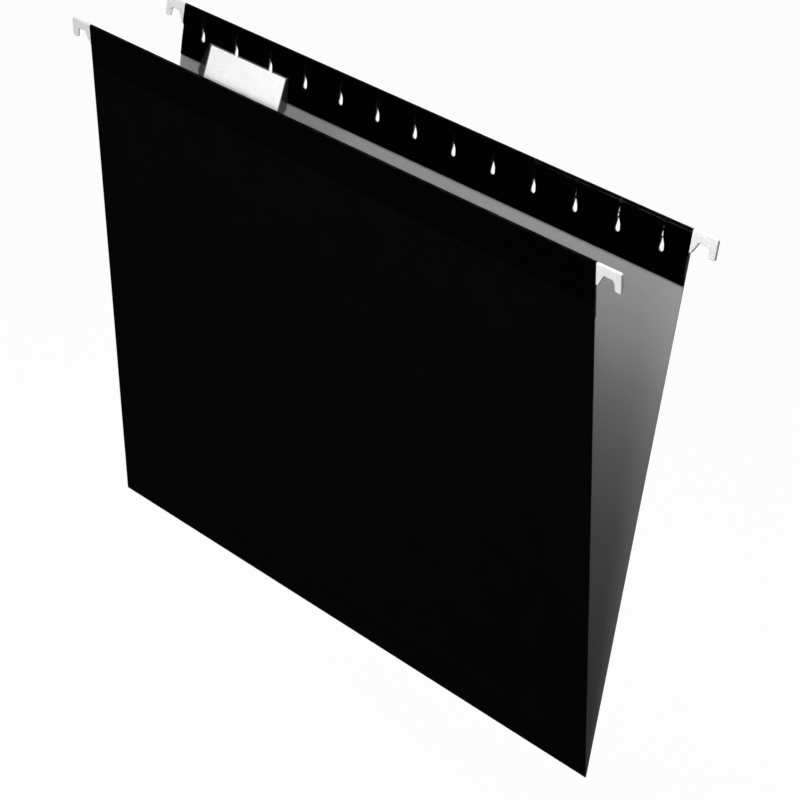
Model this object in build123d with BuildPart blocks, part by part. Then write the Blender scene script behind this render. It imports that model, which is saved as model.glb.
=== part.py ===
from build123d import *
from math import atan, cos, radians, sin, tan
import os

# Hanging file folder: a card sheet folded into a V, hung on two steel rods.
# Millimetres, +Z up. X runs along the bottom fold, the front flap is on the -Y side,
# and the origin is the middle of the fold at its lowest point.

# Card sheet
flap_width = 298.5
flap_height = 235.0
sheet = 0.3
opening_angle = 13.0
fold_setback = 0.05

# Score lines pressed into the outside of the card
score_width = 0.9
score_depth = 0.08
bottom_score_height = 16.0
middle_score_depth = 86.0

# Hanger rods, flat steel with a round upper edge
rod_thickness = 0.8
rod_height = 7.2
rod_clearance = 0.1

# Hooks: sizes of the coated outline, from the side edge of the flap outwards
hook_gap = 0.15
hook_foot = 0.9
flank_run = 3.0
roof_width = 5.0
tip_slant = 0.5
tip_width = 3.1
hook_web = 4.05
hook_shoulder = 1.45
tip_drop = 4.2
coat = 0.25
coat_edge = 0.2
hook_corner = 0.8
tip_corner = 0.6
notch_corner = 1.5
flank_corner = 0.5

# Keyhole slots for label tabs
slot_count = 13
slot_margin = 13.65
slot_width = 2.7
slot_length = 6.1
slot_rod_gap = 0.2
stem_width = 1.2
stem_tip_width = 0.5
stem_length = 4.2

# Hem: the turned-over edge below the rod, and the glue that holds it
sleeve_margin = 0.2
taper_run = 2.6
crease_radius = 3.0
glue = 0.12
glue_lead = 5.6
glue_height = 4.0
glue_side_margin = 2.0

# Label tab, clear plastic, plugged into two slots of the front hem
tab_slot = 3
tab_lean = 22.0
tab_wall = 0.25
tab_top_wall = 0.4
tab_rim = 1.4
tab_hem_clearance = 1.2
tab_belly_side = 4.5
tab_top_side = 1.3
tab_bottom_side = 1.8
tab_belly_rise = 5.1
tab_rim_rise = 4.0
tab_edge = 0.2
foot_drop = 2.4
foot_clearance = 0.1
foot_bar_length = 2.4
neck_width = 0.8
neck_thickness = 0.5

# Label insert, a blank card strip in the tab
insert_width = 46.5
insert_height = 16.0
insert_thickness = 0.25
insert_clearance = 0.05
insert_headroom = 0.1

# Cuts run this far past the faces that they open
overrun = 0.2

# Worked out from the sizes above
half_angle = radians(opening_angle / 2)
sleeve_gap = rod_thickness + 2 * rod_clearance
bend_depth = sheet + sleeve_gap / 2
rod_top = bend_depth - rod_thickness / 2
rod_bottom = rod_top + rod_height
slot_pitch = (flap_width - 2 * slot_margin) / (slot_count - 1)
slot_shoulder = rod_bottom + slot_rod_gap
slot_bottom = slot_shoulder + slot_length
foot_bar = sleeve_gap - 2 * foot_clearance
pivot_depth = slot_shoulder + foot_drop
front_sleeve_depth = pivot_depth + foot_bar / 2 + sleeve_margin
back_sleeve_depth = rod_bottom + sleeve_margin
taper_angle = atan((sleeve_gap - glue) / taper_run)
hem_height = front_sleeve_depth + taper_run + glue_lead + glue_height
hook_top = rod_top - coat
roof_depth = hook_top + hook_web
root_depth = rod_bottom + hook_shoulder + coat
tip_depth = roof_depth + tip_drop
pocket_gap = insert_thickness + 2 * insert_clearance
pocket_height = insert_height + 2 * insert_headroom
pocket_bottom = tab_rim_rise + tab_rim
tab_thickness = pocket_gap + 2 * tab_wall
tab_top = pocket_bottom + pocket_height + tab_top_wall
tab_standoff = sleeve_gap / 2 + sheet + tab_hem_clearance + tab_thickness / 2
tab_x = slot_pitch * (tab_slot + 0.5 - (slot_count - 1) / 2)
fold_axis_height = sheet * sin(half_angle) - fold_setback * cos(half_angle)

sides = {"front": -1, "back": 1}
ends = {"left": -1, "right": 1}

os.makedirs("parts", exist_ok=True)


def flap_up(side):
    """Direction from the fold to the top of a flap."""
    return Vector(0, side * sin(half_angle), cos(half_angle))


def flap_inward(side):
    """Direction square to a flap, into the pocket."""
    return Vector(0, -side * cos(half_angle), sin(half_angle))


def flap_top(side, inset=0):
    """Middle of a flap's top edge, moved in from the inner face of its panel."""
    fold_axis = Vector(0, 0, fold_axis_height)
    return fold_axis + flap_up(side) * flap_height + flap_inward(side) * inset


def section_plane(side):
    """Cut across a flap: x is into the pocket, y is up the flap, 0 is at its top."""
    return Plane(flap_top(side), x_dir=flap_inward(side), z_dir=(-side, 0, 0))


def face_plane(side, inset):
    """Plane along a flap: x is along the fold, y is up the flap, 0 is at its top."""
    return Plane(flap_top(side, inset), x_dir=(1, 0, 0), z_dir=flap_inward(side) * side)


def save(piece, name):
    """Label a finished piece and write it under its node's name."""
    piece.part.label = name
    export_step(piece.part, f"parts/{name}.step")


# One keyhole slot, below the top of its flap: a drop for the tab's foot and a narrow stem
with BuildSketch() as slot:
    with Locations((0, slot_width / 2 - slot_bottom)):
        Circle(slot_width / 2)
    with Locations((0, -slot_shoulder)):
        Circle(stem_width / 2)
    make_hull()
    with BuildLine():
        Polyline(
            (-stem_width / 2, -slot_shoulder),
            (stem_width / 2, -slot_shoulder),
            (stem_tip_width / 2, stem_length - slot_shoulder),
            (-stem_tip_width / 2, stem_length - slot_shoulder),
            close=True,
        )
    make_face()

# Coated outline of a right-hand hook, from the side edge of the flap and below its top
notch_inner = hook_foot + flank_run
notch_outer = notch_inner + roof_width
tip_inner = notch_outer + tip_slant
hook_reach = tip_inner + tip_width
with BuildSketch() as hook:
    with BuildLine():
        FilletPolyline(
            (hook_gap, -hook_top),
            (hook_reach, -hook_top),
            (hook_reach, -tip_depth),
            (tip_inner, -tip_depth),
            (notch_outer, -roof_depth),
            (notch_inner, -roof_depth),
            (hook_foot, -root_depth),
            (hook_gap, -root_depth),
            radius=(0, hook_corner, tip_corner, tip_corner, notch_corner, flank_corner, flank_corner, 0),
            close=True,
        )
    make_face()

# The steel under the coat
with BuildSketch() as bare_hook:
    add(hook.sketch)
    offset(amount=-coat)


def add_hook(outline, end):
    """Put a hook outline at the left or right side edge of the flap in the open sketch."""
    with Locations((flap_width / 2, 0)):
        placed = add(outline.sketch, mode=Mode.PRIVATE)
    if end < 0:
        placed = mirror(placed, about=Plane.YZ, mode=Mode.PRIVATE)
    add(placed)


def sheet_line(sleeve_depth, layer):
    """Draw a flap's sheet from the fold, over the rod, to the hem's end, at a layer of its thickness."""
    drop = layer * tan(taper_angle / 2)
    panel_line = Line((-layer, fold_setback - flap_height), (-layer, -bend_depth))
    bend = JernArc(panel_line @ 1, panel_line % 1, sleeve_gap / 2 + layer, -180)
    edge_line = FilletPolyline(
        bend @ 1,
        (sleeve_gap + layer, -sleeve_depth - drop),
        (glue + layer, -sleeve_depth - taper_run - drop),
        (glue + layer, -hem_height),
        radius=(crease_radius + layer, crease_radius + sheet - layer),
    )
    return panel_line, edge_line


# Flaps: the panel, the bend over the rod and the turned-over edge are one sheet. The back edge
# closes right below its rod, and the front one stands open as far as the tab's feet
for side_name, side in sides.items():
    sleeve_depth = front_sleeve_depth if side_name == "front" else back_sleeve_depth
    with BuildPart() as flap:
        with BuildSketch(section_plane(side)):
            with BuildLine():
                inner_panel, inner_edge = sheet_line(sleeve_depth, 0)
                outer_panel, outer_edge = sheet_line(sleeve_depth, sheet)
                Line(inner_panel @ 0, outer_panel @ 0)
                Line(inner_edge @ 1, outer_edge @ 1)
            make_face()
            score_depths = [flap_height - bottom_score_height]
            if side_name == "front":
                score_depths.append(middle_score_depth)
            for depth in score_depths:
                with BuildLine():
                    Polyline(
                        (-sheet, -depth - score_width / 2),
                        (score_depth - sheet, -depth),
                        (-sheet, score_width / 2 - depth),
                        close=True,
                    )
                make_face(mode=Mode.SUBTRACT)
        extrude(amount=flap_width / 2, both=True)
        # The back slots pass through both layers, the front ones only through the turned-over edge
        cut_from = -sheet - overrun if side_name == "back" else glue / 2
        cut_to = sleeve_gap + sheet + overrun
        with BuildSketch(face_plane(side, (cut_from + cut_to) / 2)):
            with GridLocations(slot_pitch, slot_pitch, slot_count, 1):
                add(slot.sketch)
        extrude(amount=(cut_to - cut_from) / 2, both=True, mode=Mode.SUBTRACT)
    save(flap, f"{side_name}_flap")

# Glue lines between the turned-over edge and the panel
for side_name, side in sides.items():
    with BuildPart() as hem_glue:
        with BuildSketch(section_plane(side)):
            with Locations((0, -hem_height)):
                Rectangle(glue, glue_height, align=(Align.MIN, Align.MIN))
        extrude(amount=flap_width / 2 - glue_side_margin, both=True)
    save(hem_glue, f"{side_name}_hem_glue")

# Hanger rods, each with its two coated hooks
for side_name, side in sides.items():
    with BuildPart() as rod:
        with BuildSketch(section_plane(side)):
            with Locations((sleeve_gap / 2, -rod_bottom)):
                Rectangle(rod_thickness, rod_bottom - bend_depth, align=(Align.CENTER, Align.MIN))
            with Locations((sleeve_gap / 2, -bend_depth)):
                Circle(rod_thickness / 2)
        extrude(amount=flap_width / 2 + hook_gap + 2 * coat, both=True)
        with BuildSketch(face_plane(side, sleeve_gap / 2)):
            for end in ends.values():
                add_hook(bare_hook, end)
        extrude(amount=rod_thickness / 2, both=True)
    save(rod, f"{side_name}_hanger_rod")

    for end_name, end in ends.items():
        with BuildPart() as hook_coat:
            with BuildSketch(face_plane(side, sleeve_gap / 2)):
                add_hook(hook, end)
            extrude(amount=rod_thickness / 2 + coat, both=True)
            broad_faces = faces().sort_by(Axis(flap_top(side), flap_inward(side)))
            rims = broad_faces[0].edges() + broad_faces[-1].edges()
            chamfer(rims.filter_by_position(Axis.X, *sorted((
                end * (flap_width / 2 + hook_gap + coat_edge),
                end * (flap_width / 2 + hook_reach),
            ))), coat_edge)
            add(rod.part, mode=Mode.SUBTRACT)
        save(hook_coat, f"{side_name}_{end_name}_hook_coating")

# Label tab: it tips about its foot bars, which lie in the front hem below the rod
lean = radians(tab_lean)
front = sides["front"]
tab_up = flap_up(front) * cos(lean) + flap_inward(front) * sin(lean)
tab_inward = flap_inward(front) * cos(lean) - flap_up(front) * sin(lean)
pivot = flap_top(front, sleeve_gap / 2) - flap_up(front) * pivot_depth + Vector(tab_x, 0, 0)
tab_section = Plane(pivot, x_dir=tab_inward, z_dir=(1, 0, 0))
tab_face = Plane(pivot + tab_inward * tab_standoff, x_dir=(1, 0, 0), z_dir=-tab_inward)

with BuildPart() as tab:
    with BuildSketch(tab_face):
        half_insert = insert_width / 2
        with BuildLine():
            half_outline = Polyline(
                (0, tab_rim_rise),
                (half_insert + tab_bottom_side, tab_rim_rise),
                (half_insert + tab_belly_side, pocket_bottom + tab_belly_rise),
                (half_insert + tab_top_side, tab_top),
                (0, tab_top),
            )
            mirror(half_outline, about=Plane.YZ)
        make_face()
    extrude(amount=tab_thickness / 2, both=True)
    fillet(edges().filter_by(Axis.X).group_by(Axis(pivot, tab_up))[-1], tab_edge)
    with BuildSketch(tab_section):
        with Locations((tab_standoff, pocket_bottom)):
            Rectangle(pocket_gap, pocket_height, align=(Align.CENTER, Align.MIN))
    extrude(amount=half_insert + tab_belly_side + overrun, both=True, mode=Mode.SUBTRACT)
    for foot_x in (-slot_pitch / 2, slot_pitch / 2):
        with BuildSketch(tab_section.offset(foot_x)):
            Rectangle(tab_standoff + neck_thickness / 2, neck_thickness, align=(Align.MIN, Align.CENTER))
            with Locations((tab_standoff, 0)):
                Rectangle(neck_thickness, tab_rim_rise + overrun, align=(Align.CENTER, Align.MIN))
        extrude(amount=neck_width / 2, both=True)
        with BuildSketch(tab_section.offset(foot_x)):
            Circle(foot_bar / 2)
        extrude(amount=foot_bar_length / 2, both=True)
save(tab, "label_tab")

# Label insert: slides out of either end of the tab
with BuildPart() as insert:
    with BuildSketch(tab_section):
        with Locations((tab_standoff, pocket_bottom + insert_headroom)):
            Rectangle(insert_thickness, insert_height, align=(Align.CENTER, Align.MIN))
    extrude(amount=insert_width / 2, both=True)
save(insert, "label_insert")
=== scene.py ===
import math

import bmesh
import bpy
from mathutils import Matrix, Vector, noise


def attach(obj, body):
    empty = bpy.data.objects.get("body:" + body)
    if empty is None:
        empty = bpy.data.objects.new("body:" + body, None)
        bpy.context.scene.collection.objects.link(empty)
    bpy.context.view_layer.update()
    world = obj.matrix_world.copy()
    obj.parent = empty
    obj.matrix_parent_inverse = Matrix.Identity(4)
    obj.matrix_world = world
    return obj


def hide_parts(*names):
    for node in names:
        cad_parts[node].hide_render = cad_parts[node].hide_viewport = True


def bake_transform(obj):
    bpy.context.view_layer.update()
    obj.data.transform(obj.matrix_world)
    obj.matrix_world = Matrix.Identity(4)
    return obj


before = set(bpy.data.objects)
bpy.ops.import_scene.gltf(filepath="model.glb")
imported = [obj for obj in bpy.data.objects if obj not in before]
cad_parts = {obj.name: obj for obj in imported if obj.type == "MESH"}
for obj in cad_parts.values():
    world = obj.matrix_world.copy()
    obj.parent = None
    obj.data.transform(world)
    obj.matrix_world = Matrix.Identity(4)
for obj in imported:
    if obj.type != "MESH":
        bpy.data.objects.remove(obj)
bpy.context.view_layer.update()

# Hanging file folder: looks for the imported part. The scene is in metres. The part's own sizes below
# are in millimetres, and spot() turns them into places in the scene.
MM = 0.001
TOLERANCE = 0.01
FRONT, BACK = -1, 1

# Card sheet
FLAP_WIDTH = 298.5
FLAP_HEIGHT = 235.0
SHEET = 0.3
HALF_ANGLE = math.radians(6.5)
FOLD_SETBACK = 0.05
FOLD_AXIS_HEIGHT = SHEET * math.sin(HALF_ANGLE) - FOLD_SETBACK * math.cos(HALF_ANGLE)
FOLD_STEPS = 14
STATIONS = 120
PANEL_ROWS = 30
ROW_CLEARANCE = 1.5
SHARP_ANGLE = math.radians(40)

# Material slots of the card pieces
OUTSIDE, SCORED, INSIDE, CUT_EDGE, SLOT_EDGE = range(5)

# Lines scored into the outside, by their depth below the flap's top
SCORE_HALF_WIDTH = 0.45
SCORE_DEPTH = 0.08
BOTTOM_SCORE_HEIGHT = 16.0
BOTTOM_SCORE = FLAP_HEIGHT - BOTTOM_SCORE_HEIGHT
MIDDLE_SCORE = 86.0

# Hem: the turned-over edge round the rod
SLEEVE_GAP = 1.0
BEND_DEPTH = SHEET + SLEEVE_GAP / 2
BEND_STEPS = 12
ROD_BOTTOM = 7.6
FRONT_SLEEVE_DEPTH = 10.8
BACK_SLEEVE_DEPTH = 7.8
SLEEVE_ROWS = 5
TAPER_RUN = 2.6
TAPER_RADIUS = 3.0
TAPER_STEPS = 5
SEAM_ROWS = 7
HEM_HEIGHT = 23.0
GLUE = 0.12

# Line that the hem's press leaves on the outside, as depths below the top and how far each goes in;
# then the depth and softness of the edge of the painted shade over the hem band, and how much darker it is
# painted
PRESS_DEPTH = 0.05
PRESS_ROWS = ((16.9, 0), (17.5, PRESS_DEPTH), (18.2, PRESS_DEPTH), (18.9, 0))
HEM_SHADE_EDGE = 18.0
HEM_SHADE_SOFTNESS = 0.4
HEM_PAINTED_SHADE = 0.75

# Runs along the sheet's inner face, measured from its lower edge at the fold
HEM_SHADE_EDGE_RUN = FLAP_HEIGHT - FOLD_SETBACK - HEM_SHADE_EDGE
PANEL_RUN = FLAP_HEIGHT - FOLD_SETBACK - BEND_DEPTH
BEND_CHORD = SLEEVE_GAP * math.sin(math.pi / (2 * BEND_STEPS))
CREST_RUN = PANEL_RUN + BEND_CHORD * BEND_STEPS / 2
BEND_END_RUN = PANEL_RUN + BEND_CHORD * BEND_STEPS

# Lighter lines across the sheet: run, half width, strength, and where along the fold the line begins
# if it also has painted glints at the slots. The fold's line is rubbed wear; the lines along the bends'
# crests are painted highlights with some wear; the back sleeve's line and its glints are painted
# highlights
FOLD_WEAR = (0, 1.2, 0.4, None)
# Painted highlights along the hem bends' crests, with some wear
FRONT_CREST_WEAR_AND_HIGHLIGHT = (CREST_RUN, 0.7, 0.5, None)
BACK_CREST_WEAR_AND_HIGHLIGHT = (CREST_RUN, 0.7, 0.4, None)
# Painted highlight along the back sleeve's top and painted glints at the slots: its drop below the bend,
# its fade in along the fold, and the glints' size
SLEEVE_HIGHLIGHT_DROP = 0.4
BACK_SLEEVE_HIGHLIGHT = (BEND_END_RUN + SLEEVE_HIGHLIGHT_DROP, 0.35, 0.9, 50)
HIGHLIGHT_FADE_IN = 60
SLOT_GLINT_FULL = 0.3
SLOT_GLINT_END = 1.1
SLOT_GLINT_REACH = 3
# Tone of the lighter lines: wear at the fold, painted highlights and glints elsewhere
WEAR_AND_HIGHLIGHT_TONE = 0.03

# The front hem stands open near each foot of the tab, and is closed further away
OPEN_NEAR = 3
CLOSED_FAR = 13

# Slow unevenness of the panels
WARP_HEIGHT = 0.14
WARP_LENGTH = 75
WARP_TOP = 28
WARP_FADE = 40
WARP_OFFSET = 3.7

# Edge of the back hem, standing open near the flap's ends
FLARE_RUN = 16
FLARE_LEFT = 0.2
FLARE_RIGHT = 1.0
FLARE_BELOW_ROD = 0.4
FLARE_TOP = ROD_BOTTOM + FLARE_BELOW_ROD
FLARE_BOTTOM = 21.4
FLARE_END_POWER = 1.6
FLARE_DEPTH_POWER = 0.8

# Keyhole slots
SLOT_COUNT = 13
SLOT_PITCH = 22.6
SLOT_RADIUS = 1.35
SLOT_BOTTOM = 13.9
SLOT_SHOULDER = 7.8
STEM_HALF_WIDTH = 0.6
STEM_TIP_HALF_WIDTH = 0.25
STEM_TIP_SHARE = 0.6
STEM_TIP_HEIGHT = 0.15
STEM_TOP = 3.6
DROP_STEPS = 8
CUT_OVERRUN = 0.3
NO_LENGTH = 0.0001

# Rod and label
# Where along the fold the rod's painted glints begin and reach full strength
STEEL_GLINTS_FROM = 75
STEEL_GLINTS_FULL = 120
TAB_X = -56.5
INSERT_WIDTH = 46.5
TAB_END_FADE = 0.6

# Floor and dome, in metres and strengths
FLOOR_HEIGHT = -0.262
FLOOR_REACH = 15
FLOOR_TONE = 0.15
FLOOR_WHITE = 0.94
DOME_AT_HORIZON = 0.02
DOME_AT_TOP = 0.12

# Soft boxes above the mouth, above the front and along the front hem: energy, place, aim, width, depth
SOFT_BOXES = {
    "overhead": (1.38, (0.1, -0.165, 0.575), (0.1, 0, 0.2), 0.09, 0.27),
    "front_box": (0.45, (0.1, -0.5, 0.6), (0.1, 0, 0.2), 0.12, 0.2),
    "hem_box": (0.53, (0.01, -0.3, 0.335), (0.01, -0.027, 0.2), 0.48, 0.05),
}

# A level fill, and low lamps at the right and behind: energy, direction, softness in degrees
SUNS = {
    "fill": (0.3, (-0.03, -1, 0.06), 6),
    "rim": (0.3, (0.8, 0.6, 0.3), 14),
    "behind": (1.2, (-0.45, 1, 0.2), 20),
}

# Camera, in metres, with its lens and sensor in millimetres
VIEW_AZIMUTH = math.radians(45.33)
VIEW_ELEVATION = math.radians(26.82)
VIEW_ROLL = math.radians(4.15)
VIEW_DISTANCE = 1.15057
VIEW_LENS = 124.17
VIEW_SENSOR = 36
VIEW_CLIP = (0.05, 60)
AIM = Vector((0, 0, 0.1175))
AIM_RIGHT, AIM_UP = 0.01901, -0.00846


def up(side):
    """Direction from the fold to the top of a flap."""
    return Vector((0, side * math.sin(HALF_ANGLE), math.cos(HALF_ANGLE)))


def inward(side):
    """Direction square to a flap, into the pocket."""
    return Vector((0, -side * math.cos(HALF_ANGLE), math.sin(HALF_ANGLE)))


def spot(side, x, inset, depth):
    """Place on a flap: along the fold, in from the panel's inner face, and below the flap's top."""
    fold_axis = Vector((x, 0, FOLD_AXIS_HEIGHT))
    return (fold_axis + up(side) * (FLAP_HEIGHT - depth) + inward(side) * inset) * MM


# Nodes that the materials share

def feed(tree, socket, value):
    """Link a socket from another socket, or set its value."""
    if isinstance(value, bpy.types.NodeSocket):
        tree.links.new(value, socket)
    else:
        socket.default_value = value


def set_inputs(tree, node, inputs):
    """Link or set a node's inputs by name or number."""
    for key, value in inputs.items():
        feed(tree, node.inputs[key], value)


def add_node(tree, kind, inputs=None, **settings):
    """A node with its settings and its inputs."""
    made = tree.nodes.new(kind)
    for key, value in settings.items():
        setattr(made, key, value)
    set_inputs(tree, made, inputs or {})
    return made


def new_material(name):
    """A fresh material, and its node tree with only a Principled shader and the output."""
    made = bpy.data.materials.new(name)
    made.use_nodes = True
    tree = made.node_tree
    tree.nodes.clear()
    shader = add_node(tree, "ShaderNodeBsdfPrincipled")
    add_node(tree, "ShaderNodeOutputMaterial", {"Surface": shader.outputs[0]})
    return made, tree, shader


def grey(value):
    """A neutral colour."""
    return (value, value, value, 1)


def place_of(tree):
    """The shaded point's place in its object, which shares the part's frame."""
    return add_node(tree, "ShaderNodeTexCoord").outputs["Object"]


def place_across(tree):
    """The shaded point's place along the fold."""
    return add_node(tree, "ShaderNodeSeparateXYZ", {0: place_of(tree)}).outputs["X"]


def stretched(tree, scale):
    """The shaded point's place, scaled unevenly so that a grain runs one way."""
    return add_node(tree, "ShaderNodeMapping", {"Vector": place_of(tree), "Scale": scale}).outputs[0]


def grain(tree, place, scale, detail=3.0, roughness=0.55, distortion=0.0):
    """Noise from 0 to 1 at a place."""
    inputs = {
        "Vector": place,
        "Scale": scale,
        "Detail": detail,
        "Roughness": roughness,
        "Distortion": distortion,
    }
    return add_node(tree, "ShaderNodeTexNoise", inputs).outputs["Fac"]


def spread(tree, value, span, result=(0, 1)):
    """A span of a value turned into another span, with soft ends."""
    inputs = {
        "Value": value,
        "From Min": span[0],
        "From Max": span[1],
        "To Min": result[0],
        "To Max": result[1],
    }
    return add_node(tree, "ShaderNodeMapRange", inputs, interpolation_type="SMOOTHSTEP").outputs[0]


def maths(tree, operation, first, second=0):
    """One operation on two values, or on the first alone."""
    return add_node(tree, "ShaderNodeMath", {0: first, 1: second}, operation=operation).outputs[0]


def total(tree, *shares):
    """Sum of values, each times its share."""
    parts = [maths(tree, "MULTIPLY", value, share) for value, share in shares]
    made = parts[0]
    for part in parts[1:]:
        made = maths(tree, "ADD", made, part)
    return made


def off_from(tree, value, where):
    """How far a value is from another, either way."""
    return maths(tree, "ABSOLUTE", maths(tree, "SUBTRACT", value, where))


def mixed(tree, factor, first, second):
    """A colour from the first to the second as the factor goes from 0 to 1."""
    made = add_node(tree, "ShaderNodeMix", data_type="RGBA")
    for name, value in (("Factor", factor), ("A", first), ("B", second)):
        feed(tree, next(socket for socket in made.inputs if socket.name == name and socket.enabled), value)
    return next(socket for socket in made.outputs if socket.enabled)


def bumped(tree, shader, height, strength, distance):
    """Relief on a shader from a height, with its depth in millimetres."""
    inputs = {"Height": height, "Strength": strength, "Distance": distance * MM}
    tree.links.new(add_node(tree, "ShaderNodeBump", inputs).outputs[0], shader.inputs["Normal"])


# Materials

def slot_glints(tree, across, away, line, half_width, begins):
    """A painted highlight line with a painted glint at each slot, fading in along the fold."""
    off_slot = maths(tree, "PINGPONG", across, SLOT_PITCH / 2 * MM)
    near_line = spread(tree, away, (half_width * MM, SLOT_GLINT_REACH * half_width * MM), (1, 0))
    near_slot = spread(tree, off_slot, (SLOT_GLINT_FULL * MM, SLOT_GLINT_END * MM), (1, 0))
    line = maths(tree, "MAXIMUM", line, maths(tree, "MULTIPLY", near_line, near_slot))
    fade_in = spread(tree, across, (begins * MM, (begins + HIGHLIGHT_FADE_IN) * MM))
    return maths(tree, "MULTIPLY", line, fade_in)


def wear_and_painted_light_colour(tree, colour, wear_and_highlight_lines):
    """A card's colour with painted shade that darkens the hem band, and with patchy lighter lines across
    the sheet: wear, painted highlights and painted glints at the slots.
    """
    flat_place = add_node(tree, "ShaderNodeUVMap", uv_map="sheet").outputs[0]
    sheet_place = add_node(tree, "ShaderNodeSeparateXYZ", {0: flat_place})
    across, along = sheet_place.outputs["X"], sheet_place.outputs["Y"]
    hem_starts = (HEM_SHADE_EDGE_RUN - HEM_SHADE_SOFTNESS) * MM
    hem_full = (HEM_SHADE_EDGE_RUN + HEM_SHADE_SOFTNESS) * MM
    # Painted shade: the outside is painted darker over the hem band
    pressed = spread(tree, along, (hem_starts, hem_full), (0, HEM_PAINTED_SHADE))
    colour = mixed(tree, pressed, colour, grey(0))
    patchy = spread(tree, grain(tree, place_of(tree), scale=240), (0.4, 0.62), (0.25, 1))
    # Lighter lines: wear at the fold, painted highlights and painted glints elsewhere
    wear_and_highlights = 0
    for run, half_width, strength, begins in wear_and_highlight_lines:
        away = off_from(tree, along, run * MM)
        line = spread(tree, away, (0, half_width * MM), (strength, 0))
        if begins is not None:
            line = slot_glints(tree, across, away, line, half_width, begins)
        wear_and_highlights = maths(tree, "MAXIMUM", line, wear_and_highlights)
    return mixed(tree, maths(tree, "MULTIPLY", wear_and_highlights, patchy), colour, grey(WEAR_AND_HIGHLIGHT_TONE))


def card_material(name, tones, rough, specular, wear_and_highlight_lines=()):
    """Dyed card: cloudy formation and felted fibres; where lines are given, also painted shade over the
    hem band and lighter lines of wear and painted highlight.
    """
    made, tree, shader = new_material(name)
    cloud = grain(tree, place_of(tree), scale=70, detail=4)
    fibre_place = stretched(tree, (1, 2.2, 2.2))
    fibre = grain(tree, fibre_place, scale=900, detail=4, roughness=0.65, distortion=1.5)
    fleck = grain(tree, place_of(tree), scale=2600, detail=2)
    tone = total(tree, (cloud, 0.1), (fibre, 0.4), (fleck, 0.5))
    colour = mixed(tree, spread(tree, tone, (0.38, 0.62)), grey(tones[0]), grey(tones[1]))
    if wear_and_highlight_lines:
        colour = wear_and_painted_light_colour(tree, colour, wear_and_highlight_lines)
    set_inputs(tree, shader, {
        "Base Color": colour,
        "Roughness": spread(tree, fibre, (0.3, 0.7), (rough - 0.09, rough + 0.06)),
        "Specular IOR Level": specular,
    })
    bumped(tree, shader, total(tree, (fibre, 1), (fleck, 0.5)), strength=0.35, distance=0.06)
    return made


def core_material(name, tones):
    """A cut edge of the card: fibres with streaks from the knife."""
    made, tree, shader = new_material(name)
    streak = grain(tree, stretched(tree, (1, 6, 6)), scale=700)
    set_inputs(tree, shader, {
        "Base Color": mixed(tree, spread(tree, streak, (0.35, 0.65)), grey(tones[0]), grey(tones[1])),
        "Roughness": 0.9,
        "Specular IOR Level": 0.15,
    })
    bumped(tree, shader, streak, strength=0.4, distance=0.05)
    return made


def steel_material():
    """Rolled strip: fine lines along a dull rod, with bright metal patches towards its right end that are
    painted glints.
    """
    made, tree, shader = new_material("rod_steel")
    lines = grain(tree, stretched(tree, (0.03, 1, 1)), scale=4200)
    patch = grain(tree, place_of(tree), scale=60)
    # Painted glints: brighter metal in patches towards the rod's right end
    glint_spots = spread(tree, grain(tree, place_of(tree), scale=700), (0.36, 0.5))
    right_end = spread(tree, place_across(tree), (STEEL_GLINTS_FROM * MM, STEEL_GLINTS_FULL * MM))
    bare = maths(tree, "MULTIPLY", right_end, glint_spots)
    dull = mixed(tree, spread(tree, patch, (0.4, 0.65)), grey(0.035), (0.025, 0.0245, 0.024, 1))
    rolled = spread(tree, lines, (0.3, 0.7), (0.26, 0.4))
    set_inputs(tree, shader, {
        "Base Color": mixed(tree, bare, dull, grey(0.9)),
        "Metallic": 1,
        "Roughness": total(tree, (rolled, 1), (bare, 0.3)),
    })
    bumped(tree, shader, lines, strength=0.15, distance=0.02)
    return made


def coat_material():
    """Dip coat on the hooks: smooth white plastic with slow waves and specks."""
    made, tree, shader = new_material("hook_coat")
    wave = grain(tree, place_of(tree), scale=420, detail=2)
    speck = grain(tree, place_of(tree), scale=5000, detail=2)
    wave_share = spread(tree, wave, (0.35, 0.65))
    set_inputs(tree, shader, {
        "Base Color": mixed(tree, wave_share, (0.92, 0.92, 0.915, 1), (0.96, 0.96, 0.955, 1)),
        "Roughness": spread(tree, wave, (0.3, 0.7), (0.3, 0.42)),
    })
    bumped(tree, shader, total(tree, (wave, 1), (speck, 0.06)), strength=0.3, distance=0.15)
    return made


def glue_material():
    """Dried glue line: cloudy amber with small bubbles."""
    made, tree, shader = new_material("hem_glue")
    cloud = grain(tree, place_of(tree), scale=300)
    cloud_share = spread(tree, cloud, (0.35, 0.65))
    cells = add_node(tree, "ShaderNodeTexVoronoi", {"Vector": place_of(tree), "Scale": 1500})
    set_inputs(tree, shader, {
        "Base Color": mixed(tree, cloud_share, (0.60, 0.54, 0.40, 1), (0.74, 0.70, 0.58, 1)),
        "Roughness": spread(tree, cloud, (0.3, 0.7), (0.4, 0.6)),
    })
    bumped(tree, shader, cells.outputs["Distance"], strength=0.3, distance=0.1)
    return made


def paper_material():
    """Blank white label card."""
    made, tree, shader = new_material("insert_paper")
    cloud = grain(tree, place_of(tree), scale=180, detail=4)
    fibre = grain(tree, stretched(tree, (1, 2, 2)), scale=1500, distortion=1.2)
    tone = total(tree, (cloud, 0.5), (fibre, 0.5))
    set_inputs(tree, shader, {
        "Base Color": mixed(tree, spread(tree, tone, (0.36, 0.64)), grey(0.80), grey(0.85)),
        "Roughness": spread(tree, fibre, (0.3, 0.7), (0.7, 0.85)),
        "Specular IOR Level": 0.3,
    })
    bumped(tree, shader, fibre, strength=0.25, distance=0.04)
    return made


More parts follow.
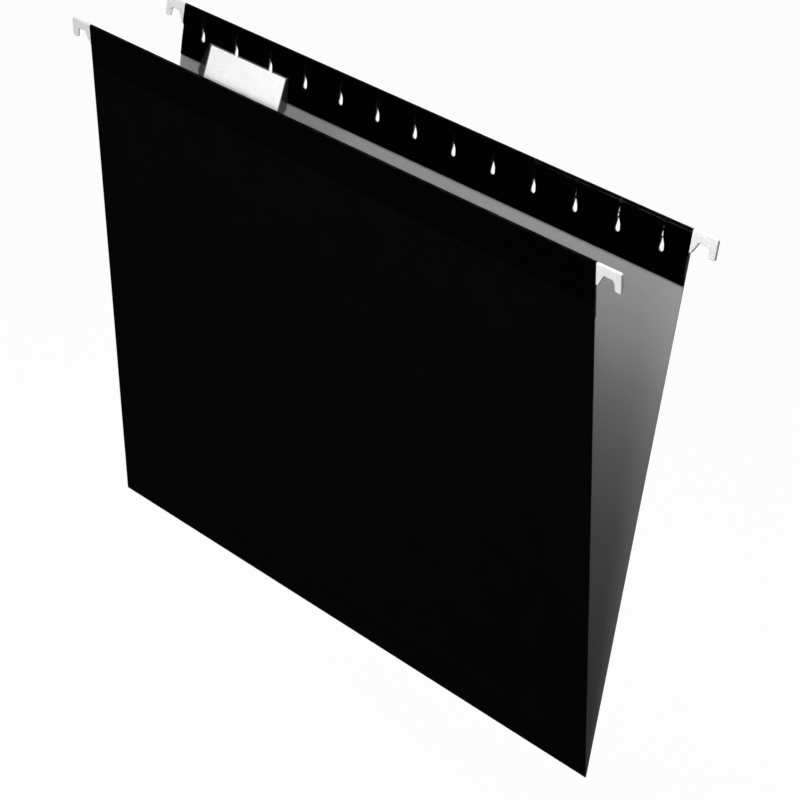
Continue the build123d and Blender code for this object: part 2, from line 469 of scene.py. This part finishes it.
def tab_material():
    """Clear moulded plastic: almost nothing face on, more at a glance and in its bare ends."""
    made, tree, shader = new_material("tab_plastic")
    scuff = grain(tree, stretched(tree, (0.3, 1, 1)), scale=1100)
    off_middle = off_from(tree, place_across(tree), TAB_X * MM)
    insert_end = INSERT_WIDTH / 2
    end = spread(tree, off_middle, (insert_end * MM, (insert_end + TAB_END_FADE) * MM))
    edge_on = add_node(tree, "ShaderNodeLayerWeight", {"Blend": 0.35}).outputs["Facing"]
    glance = spread(tree, edge_on, (0.2, 1), (0.02, 0.4))
    haze = spread(tree, scuff, (0.5, 0.75), (0, 0.03))
    set_inputs(tree, shader, {
        "Base Color": mixed(tree, end, (0.82, 0.84, 0.85, 1), (0.01, 0.01, 0.011, 1)),
        "Alpha": total(tree, (glance, 1), (haze, 1), (end, 0.3)),
        "Roughness": spread(tree, scuff, (0.35, 0.7), (0.1, 0.28)),
        "IOR": 1.49,
        "Specular IOR Level": 0.05,
    })
    bumped(tree, shader, scuff, strength=0.08, distance=0.03)
    return made


# Card pieces

def rounded(points, radii, steps):
    """A polyline with its inner corners turned into arcs of equal steps."""
    line = [Vector(points[0])]
    for before, corner, after, radius in zip(points, points[1:], points[2:], radii):
        corner = Vector(corner)
        back = (Vector(before) - corner).normalized()
        ahead = (Vector(after) - corner).normalized()
        half = back.angle(ahead) / 2
        run = radius / math.tan(half)
        start, end = corner + back * run, corner + ahead * run
        middle = corner + (back + ahead).normalized() * (radius / math.sin(half))
        sweep = (start - middle).angle_signed(end - middle)
        for step in range(steps + 1):
            turned = Matrix.Rotation(-sweep * step / steps, 2) @ (start - middle)
            line.append(middle + turned)
    line.append(Vector(points[-1]))
    return line


def evenly(start, end, count):
    """Values between two ends, without the ends."""
    return [start + (end - start) * (step + 1) / (count + 1) for step in range(count)]


def stations():
    """Places along the fold at which the sheet has a column of points."""
    return [FLAP_WIDTH * (step / STATIONS - 0.5) for step in range(STATIONS + 1)]


def panel_depths(scores):
    """Depths of the panel's rows from the fold up, and how far each is pressed in from outside."""
    pressed = dict(PRESS_ROWS)
    for score in scores:
        pressed[score - SCORE_HALF_WIDTH] = 0
        pressed[score] = SCORE_DEPTH
        pressed[score + SCORE_HALF_WIDTH] = 0
    low, high = FLAP_HEIGHT - FOLD_SETBACK, BEND_DEPTH
    for row in range(PANEL_ROWS + 1):
        depth = low + (high - low) * row / PANEL_ROWS
        if row in (0, PANEL_ROWS) or all(abs(depth - other) > ROW_CLEARANCE for other in pressed):
            pressed[depth] = 0
    return sorted(pressed.items(), reverse=True)


def hem_line(layer, sleeve_depth):
    """The turned-over edge below the bend, at a layer of the sheet's thickness."""
    drop = layer * math.tan(math.atan((SLEEVE_GAP - GLUE) / TAPER_RUN) / 2)
    corners = [
        (SLEEVE_GAP + layer, BEND_DEPTH),
        (SLEEVE_GAP + layer, sleeve_depth + drop),
        (GLUE + layer, sleeve_depth + TAPER_RUN + drop),
        (GLUE + layer, HEM_HEIGHT),
    ]
    line = rounded(corners, (TAPER_RADIUS + layer, TAPER_RADIUS + SHEET - layer), TAPER_STEPS)
    # Rows on the straight runs, so that the edge can stand open at its ends
    sleeve = [Vector((SLEEVE_GAP + layer, depth)) for depth in evenly(line[0].y, line[1].y, SLEEVE_ROWS)]
    seam = [Vector((GLUE + layer, depth)) for depth in evenly(line[-2].y, line[-1].y, SEAM_ROWS)]
    return line[:1] + sleeve + line[1:-1] + seam + line[-1:]


def sheet_rows(scores, sleeve_depth):
    """Rows along the sheet from the fold to the hem's end: outer point, inner point, in a score or not."""
    rows = []
    for depth, press in panel_depths(scores):
        in_score = any(abs(depth - score) <= SCORE_HALF_WIDTH + TOLERANCE for score in scores)
        rows.append((Vector((press - SHEET, depth)), Vector((0, depth)), in_score))
    for step in range(1, BEND_STEPS):
        angle = math.pi * (1 - step / BEND_STEPS)
        turn = Vector((math.cos(angle), -math.sin(angle)))
        middle = Vector((SLEEVE_GAP / 2, BEND_DEPTH))
        rows.append((middle + turn * (SLEEVE_GAP / 2 + SHEET), middle + turn * SLEEVE_GAP / 2, False))
    hems = zip(hem_line(SHEET, sleeve_depth), hem_line(0, sleeve_depth))
    return rows + [(outer, inner, False) for outer, inner in hems]


def smooth(value, zero_at, one_at):
    """0 to 1 between two values, with soft ends."""
    share = max(0.0, min(1.0, (value - zero_at) / (one_at - zero_at)))
    return share * share * (3 - 2 * share)


def openness(side, x):
    """1 where the front hem stands open for the tab's feet, 0 where a hem closes below its rod."""
    if side == BACK:
        return 0.0
    feet = (TAB_X - SLOT_PITCH / 2, TAB_X + SLOT_PITCH / 2)
    return max(smooth(abs(x - foot), CLOSED_FAR, OPEN_NEAR) for foot in feet)


def warp(side, x, depth):
    """Slow unevenness of the panel between the hem and the bottom score, in millimetres."""
    fade = max(0.0, min(1.0, (depth - WARP_TOP) / WARP_FADE, (BOTTOM_SCORE - depth) / WARP_FADE))
    place = Vector((x / WARP_LENGTH, depth / WARP_LENGTH, WARP_OFFSET * side))
    return WARP_HEIGHT * fade * noise.noise(place)


def flare(side, x, depth):
    """How far the back hem's edge stands open near the ends of the flap, in millimetres."""
    span = (depth - FLARE_TOP) / (FLARE_BOTTOM - FLARE_TOP)
    if side == FRONT or span <= 0 or span >= 1:
        return 0.0
    near_end = max(0.0, (abs(x) - FLAP_WIDTH / 2 + FLARE_RUN) / FLARE_RUN)
    most = FLARE_RIGHT if x > 0 else FLARE_LEFT
    return most * near_end ** FLARE_END_POWER * math.sin(math.pi * span ** FLARE_DEPTH_POWER)


def mesh_object(name, mesh):
    """An object in the scene from a finished mesh."""
    data = bpy.data.meshes.new(name)
    mesh.to_mesh(data)
    mesh.free()
    made = bpy.data.objects.new(name, data)
    bpy.context.scene.collection.objects.link(made)
    return made


def add_face(mesh, corners, finish, marks):
    """A smooth face with its finish, and its corners' places on the flat sheet."""
    made = mesh.faces.new(corners)
    made.material_index = finish
    made.smooth = True
    uv = mesh.loops.layers.uv["sheet"]
    for loop in made.loops:
        loop[uv].uv = marks[loop.vert]


def sheet_piece(name, side, scores):
    """One flap with its hem, swept along the fold."""
    rows = sheet_rows(scores, BACK_SLEEVE_DEPTH)
    open_rows = sheet_rows(scores, FRONT_SLEEVE_DEPTH)
    runs = [0.0]
    for (_, inner, _), (_, following, _) in zip(rows, rows[1:]):
        runs.append(runs[-1] + (following - inner).length)
    mesh = bmesh.new()
    mesh.loops.layers.uv.new("sheet")
    marks = {}

    def columns(layer):
        """Columns of points on the outer or the inner layer of the sheet."""
        made = []
        for x in stations():
            column = []
            open_share = openness(side, x)
            for closed, opened, run in zip(rows, open_rows, runs):
                point = closed[layer].lerp(opened[layer], open_share)
                shift = warp if run <= PANEL_RUN + TOLERANCE else flare
                vertex = mesh.verts.new(spot(side, x, point.x + shift(side, x, point.y), point.y))
                marks[vertex] = (x * MM, run * MM)
                column.append(vertex)
            made.append(column)
        return made

    outer, inner = columns(0), columns(1)
    last = len(rows) - 1
    for out, next_out, into, next_into in zip(outer, outer[1:], inner, inner[1:]):
        for row in range(last):
            above = row + 1
            finish = SCORED if rows[row][2] and rows[above][2] else OUTSIDE
            add_face(mesh, (out[row], next_out[row], next_out[above], out[above]), finish, marks)
            add_face(mesh, (into[row], into[above], next_into[above], next_into[row]), INSIDE, marks)
        for row in (0, last):
            add_face(mesh, (out[row], into[row], next_into[row], next_out[row]), CUT_EDGE, marks)
    for out, into in ((outer[0], inner[0]), (outer[-1], inner[-1])):
        for row in range(last):
            add_face(mesh, (out[row], out[row + 1], into[row + 1], into[row]), CUT_EDGE, marks)
    bmesh.ops.recalc_face_normals(mesh, faces=mesh.faces)
    return mesh_object(name, mesh)


def crease_piece(name):
    """The fold itself: a half-round of card between the two flaps' lower edges."""
    mesh = bmesh.new()
    mesh.loops.layers.uv.new("sheet")
    marks = {}
    start = math.pi - math.atan2(-FOLD_AXIS_HEIGHT, SHEET)
    sweep = 3 * math.pi - 2 * start

    def rings(radius):
        """Half rings of points round the fold's axis, one at each station."""
        made = []
        for x in stations():
            ring = []
            for step in range(FOLD_STEPS + 1):
                angle = start + sweep * step / FOLD_STEPS
                height = FOLD_AXIS_HEIGHT + radius * math.sin(angle)
                vertex = mesh.verts.new(Vector((x, radius * math.cos(angle), height)) * MM)
                marks[vertex] = (x * MM, 0)
                ring.append(vertex)
            made.append(ring)
        return made

    outer, inner = rings(math.hypot(SHEET, FOLD_SETBACK)), rings(FOLD_SETBACK)
    for out, next_out, into, next_into in zip(outer, outer[1:], inner, inner[1:]):
        for step in range(FOLD_STEPS):
            after = step + 1
            add_face(mesh, (out[step], out[after], next_out[after], next_out[step]), OUTSIDE, marks)
            add_face(mesh, (into[step], next_into[step], next_into[after], into[after]), INSIDE, marks)
        for step in (0, FOLD_STEPS):
            add_face(mesh, (out[step], next_out[step], next_into[step], into[step]), CUT_EDGE, marks)
    for out, into in ((outer[0], inner[0]), (outer[-1], inner[-1])):
        for step in range(FOLD_STEPS):
            add_face(mesh, (out[step], into[step], into[step + 1], out[step + 1]), CUT_EDGE, marks)
    bmesh.ops.recalc_face_normals(mesh, faces=mesh.faces)
    return mesh_object(name, mesh)


def keyhole():
    """A slot's outline from its stem's tip round the drop and back: off its middle, below the top."""
    middle = SLOT_BOTTOM - SLOT_RADIUS
    slant = math.asin((SLOT_RADIUS - STEM_HALF_WIDTH) / (middle - SLOT_SHOULDER))
    right = [
        (STEM_TIP_HALF_WIDTH * STEM_TIP_SHARE, STEM_TOP),
        (STEM_TIP_HALF_WIDTH, STEM_TOP + STEM_TIP_HEIGHT),
        (STEM_HALF_WIDTH, SLOT_SHOULDER),
    ]
    for step in range(DROP_STEPS + 1):
        angle = -slant + (math.pi / 2 + slant) * step / DROP_STEPS
        right.append((SLOT_RADIUS * math.cos(angle), middle + SLOT_RADIUS * math.sin(angle)))
    return right + [(-x, depth) for x, depth in reversed(right[:-1])]


def slot_cutter(side, inset_from, inset_to):
    """Prisms of all the slots in a hem, between two insets."""
    mesh = bmesh.new()
    outline = keyhole()
    for slot in range(SLOT_COUNT):
        middle = SLOT_PITCH * (slot - (SLOT_COUNT - 1) / 2)
        near, far = (
            [mesh.verts.new(spot(side, middle + x, inset, depth)) for x, depth in outline]
            for inset in (inset_from, inset_to)
        )
        mesh.faces.new(near)
        mesh.faces.new(list(reversed(far)))
        for corner in range(len(outline)):
            following = (corner + 1) % len(outline)
            mesh.faces.new((near[corner], far[corner], far[following], near[following]))
    bmesh.ops.recalc_face_normals(mesh, faces=mesh.faces)
    return mesh_object("slot_cutter", mesh)


def cut_slots(piece, side, inset_from, inset_to):
    """Cut the row of keyhole slots through the layers between two insets."""
    cutter = slot_cutter(side, inset_from, inset_to)
    cutter.data.materials.append(piece.data.materials[SLOT_EDGE])
    cut = piece.modifiers.new("slots", "BOOLEAN")
    cut.object = cutter
    cut.operation = "DIFFERENCE"
    cut.solver = "EXACT"
    cut.material_mode = "TRANSFER"
    bpy.context.view_layer.update()
    result = piece.evaluated_get(bpy.context.evaluated_depsgraph_get())
    data = bpy.data.meshes.new_from_object(result)
    piece.modifiers.clear()
    # The middle slot's lowest point meets an edge of the sheet, which leaves faces without area
    cleaned = bmesh.new()
    cleaned.from_mesh(data)
    bmesh.ops.dissolve_degenerate(cleaned, dist=NO_LENGTH * MM, edges=cleaned.edges[:])
    cleaned.to_mesh(data)
    cleaned.free()
    piece.data = data
    bpy.data.objects.remove(cutter)


front_sheet = sheet_piece("front_card", FRONT, (BOTTOM_SCORE, MIDDLE_SCORE))
back_sheet = sheet_piece("back_card", BACK, (BOTTOM_SCORE,))
crease = crease_piece("fold_crease")

black_card = {"tones": (0.0004, 0.0033), "rough": 0.75, "specular": 0.004}
front_wear_and_highlights = (FRONT_CREST_WEAR_AND_HIGHLIGHT, FOLD_WEAR)
back_wear_and_highlights = (BACK_CREST_WEAR_AND_HIGHLIGHT, BACK_SLEEVE_HIGHLIGHT, FOLD_WEAR)
black = card_material("card_black", **black_card, wear_and_highlight_lines=front_wear_and_highlights)
back_black = card_material("card_black_back", **black_card, wear_and_highlight_lines=back_wear_and_highlights)
scored = card_material("card_score", tones=(0.0007, 0.0045), rough=0.8, specular=0.006)
inside = card_material("card_grey", tones=(0.46, 0.52), rough=0.85, specular=0.05)
core = core_material("card_core", tones=(0.04, 0.09))
# The slot walls get a darker copy of the cut-edge material: painted shade inside the narrow slots
shaded_slot_core = core_material("shaded_slot_core", tones=(0.012, 0.03))
for piece, outside in ((front_sheet, black), (back_sheet, back_black), (crease, black)):
    for finish in (outside, scored, inside, core, shaded_slot_core):
        piece.data.materials.append(finish)

cut_slots(front_sheet, FRONT, GLUE / 2, SLEEVE_GAP + SHEET + CUT_OVERRUN)
cut_slots(back_sheet, BACK, -SHEET - CUT_OVERRUN, SLEEVE_GAP + SHEET + CUT_OVERRUN)
for piece in (front_sheet, back_sheet, crease):
    piece.data.set_sharp_from_angle(angle=SHARP_ANGLE)
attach(front_sheet, "front")
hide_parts("front_flap")
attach(back_sheet, "back")
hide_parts("back_flap")
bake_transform(crease)


# CAD nodes that keep their shape

def finish_node(name, material):
    """Give a CAD node its material."""
    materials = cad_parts[name].data.materials
    materials.clear()
    materials.append(material)


steel, coat, glue = steel_material(), coat_material(), glue_material()
for side_name in ("front", "back"):
    finish_node(f"{side_name}_hanger_rod", steel)
    finish_node(f"{side_name}_hem_glue", glue)
    for end_name in ("left", "right"):
        finish_node(f"{side_name}_{end_name}_hook_coating", coat)
finish_node("label_tab", tab_material())
finish_node("label_insert", paper_material())


# Floor, light and camera

def seen_directly(tree):
    """1 for camera, glossy and transmission rays, and 0 for the rays that light the part."""
    path = add_node(tree, "ShaderNodeLightPath")
    seen = maths(tree, "MAXIMUM", path.outputs["Is Camera Ray"], path.outputs["Is Glossy Ray"])
    return maths(tree, "MAXIMUM", seen, path.outputs["Is Transmission Ray"])


def floor_material():
    """A dull grey floor that is white where it is seen directly."""
    made, tree, shader = new_material("floor")
    set_inputs(tree, shader, {
        "Base Color": grey(FLOOR_TONE),
        "Roughness": 0.95,
        "Specular IOR Level": 0,
        "Emission Color": grey(1),
        "Emission Strength": maths(tree, "MULTIPLY", seen_directly(tree), FLOOR_WHITE),
    })
    return made


def studio_world():
    """A dim dome, brighter above, that is white where it is seen directly."""
    made = bpy.data.worlds.new("studio")
    made.use_nodes = True
    tree = made.node_tree
    tree.nodes.clear()
    direction = add_node(tree, "ShaderNodeTexCoord").outputs["Generated"]
    height = add_node(tree, "ShaderNodeSeparateXYZ", {0: direction}).outputs["Z"]
    dome = spread(tree, height, (0, 1), (DOME_AT_HORIZON, DOME_AT_TOP))
    strength = maths(tree, "MAXIMUM", seen_directly(tree), dome)
    shade = add_node(tree, "ShaderNodeBackground", {"Color": grey(1), "Strength": strength})
    add_node(tree, "ShaderNodeOutputWorld", {"Surface": shade.outputs[0]})
    return made


def place_lamp(name, kind, energy, towards, **settings):
    """A lamp that shines from a direction; returns its object."""
    lamp = bpy.data.lights.new(name, kind)
    lamp.energy = energy
    for key, value in settings.items():
        setattr(lamp, key, value)
    made = bpy.data.objects.new(name, lamp)
    bpy.context.scene.collection.objects.link(made)
    made.rotation_euler = Vector(towards).to_track_quat("Z", "Y").to_euler()
    return made


def place_camera():
    """The photo's view: turned, raised and rolled about the aim, then slid across and up."""
    back_to_camera = Vector((
        math.sin(VIEW_AZIMUTH) * math.cos(VIEW_ELEVATION),
        -math.cos(VIEW_AZIMUTH) * math.cos(VIEW_ELEVATION),
        math.sin(VIEW_ELEVATION),
    ))
    level = Vector((math.cos(VIEW_AZIMUTH), math.sin(VIEW_AZIMUTH), 0))
    rise = back_to_camera.cross(level)
    right = level * math.cos(VIEW_ROLL) + rise * math.sin(VIEW_ROLL)
    top = rise * math.cos(VIEW_ROLL) - level * math.sin(VIEW_ROLL)
    lens = bpy.data.cameras.new("camera")
    lens.lens = VIEW_LENS
    lens.sensor_width = VIEW_SENSOR
    lens.clip_start, lens.clip_end = VIEW_CLIP
    made = bpy.data.objects.new("camera", lens)
    bpy.context.scene.collection.objects.link(made)
    turn = Matrix((right, top, back_to_camera)).transposed().to_4x4()
    place = AIM + back_to_camera * VIEW_DISTANCE + right * AIM_RIGHT + top * AIM_UP
    made.matrix_world = Matrix.Translation(place) @ turn
    return made


floor_mesh = bmesh.new()
bmesh.ops.create_grid(floor_mesh, x_segments=1, y_segments=1, size=FLOOR_REACH)
floor = mesh_object("floor", floor_mesh)
floor.location.z = FLOOR_HEIGHT
floor.data.materials.append(floor_material())

bpy.context.scene.world = studio_world()
for name, (energy, place, aim, width, depth) in SOFT_BOXES.items():
    towards = Vector(place) - Vector(aim)
    box = place_lamp(name, "AREA", energy, towards, shape="RECTANGLE", size=width, size_y=depth)
    box.location = place
    box.visible_camera = False
for name, (energy, towards, softness) in SUNS.items():
    place_lamp(name, "SUN", energy, towards, angle=math.radians(softness))

bpy.context.scene.camera = place_camera()
bpy.context.scene.view_settings.view_transform = "Standard"
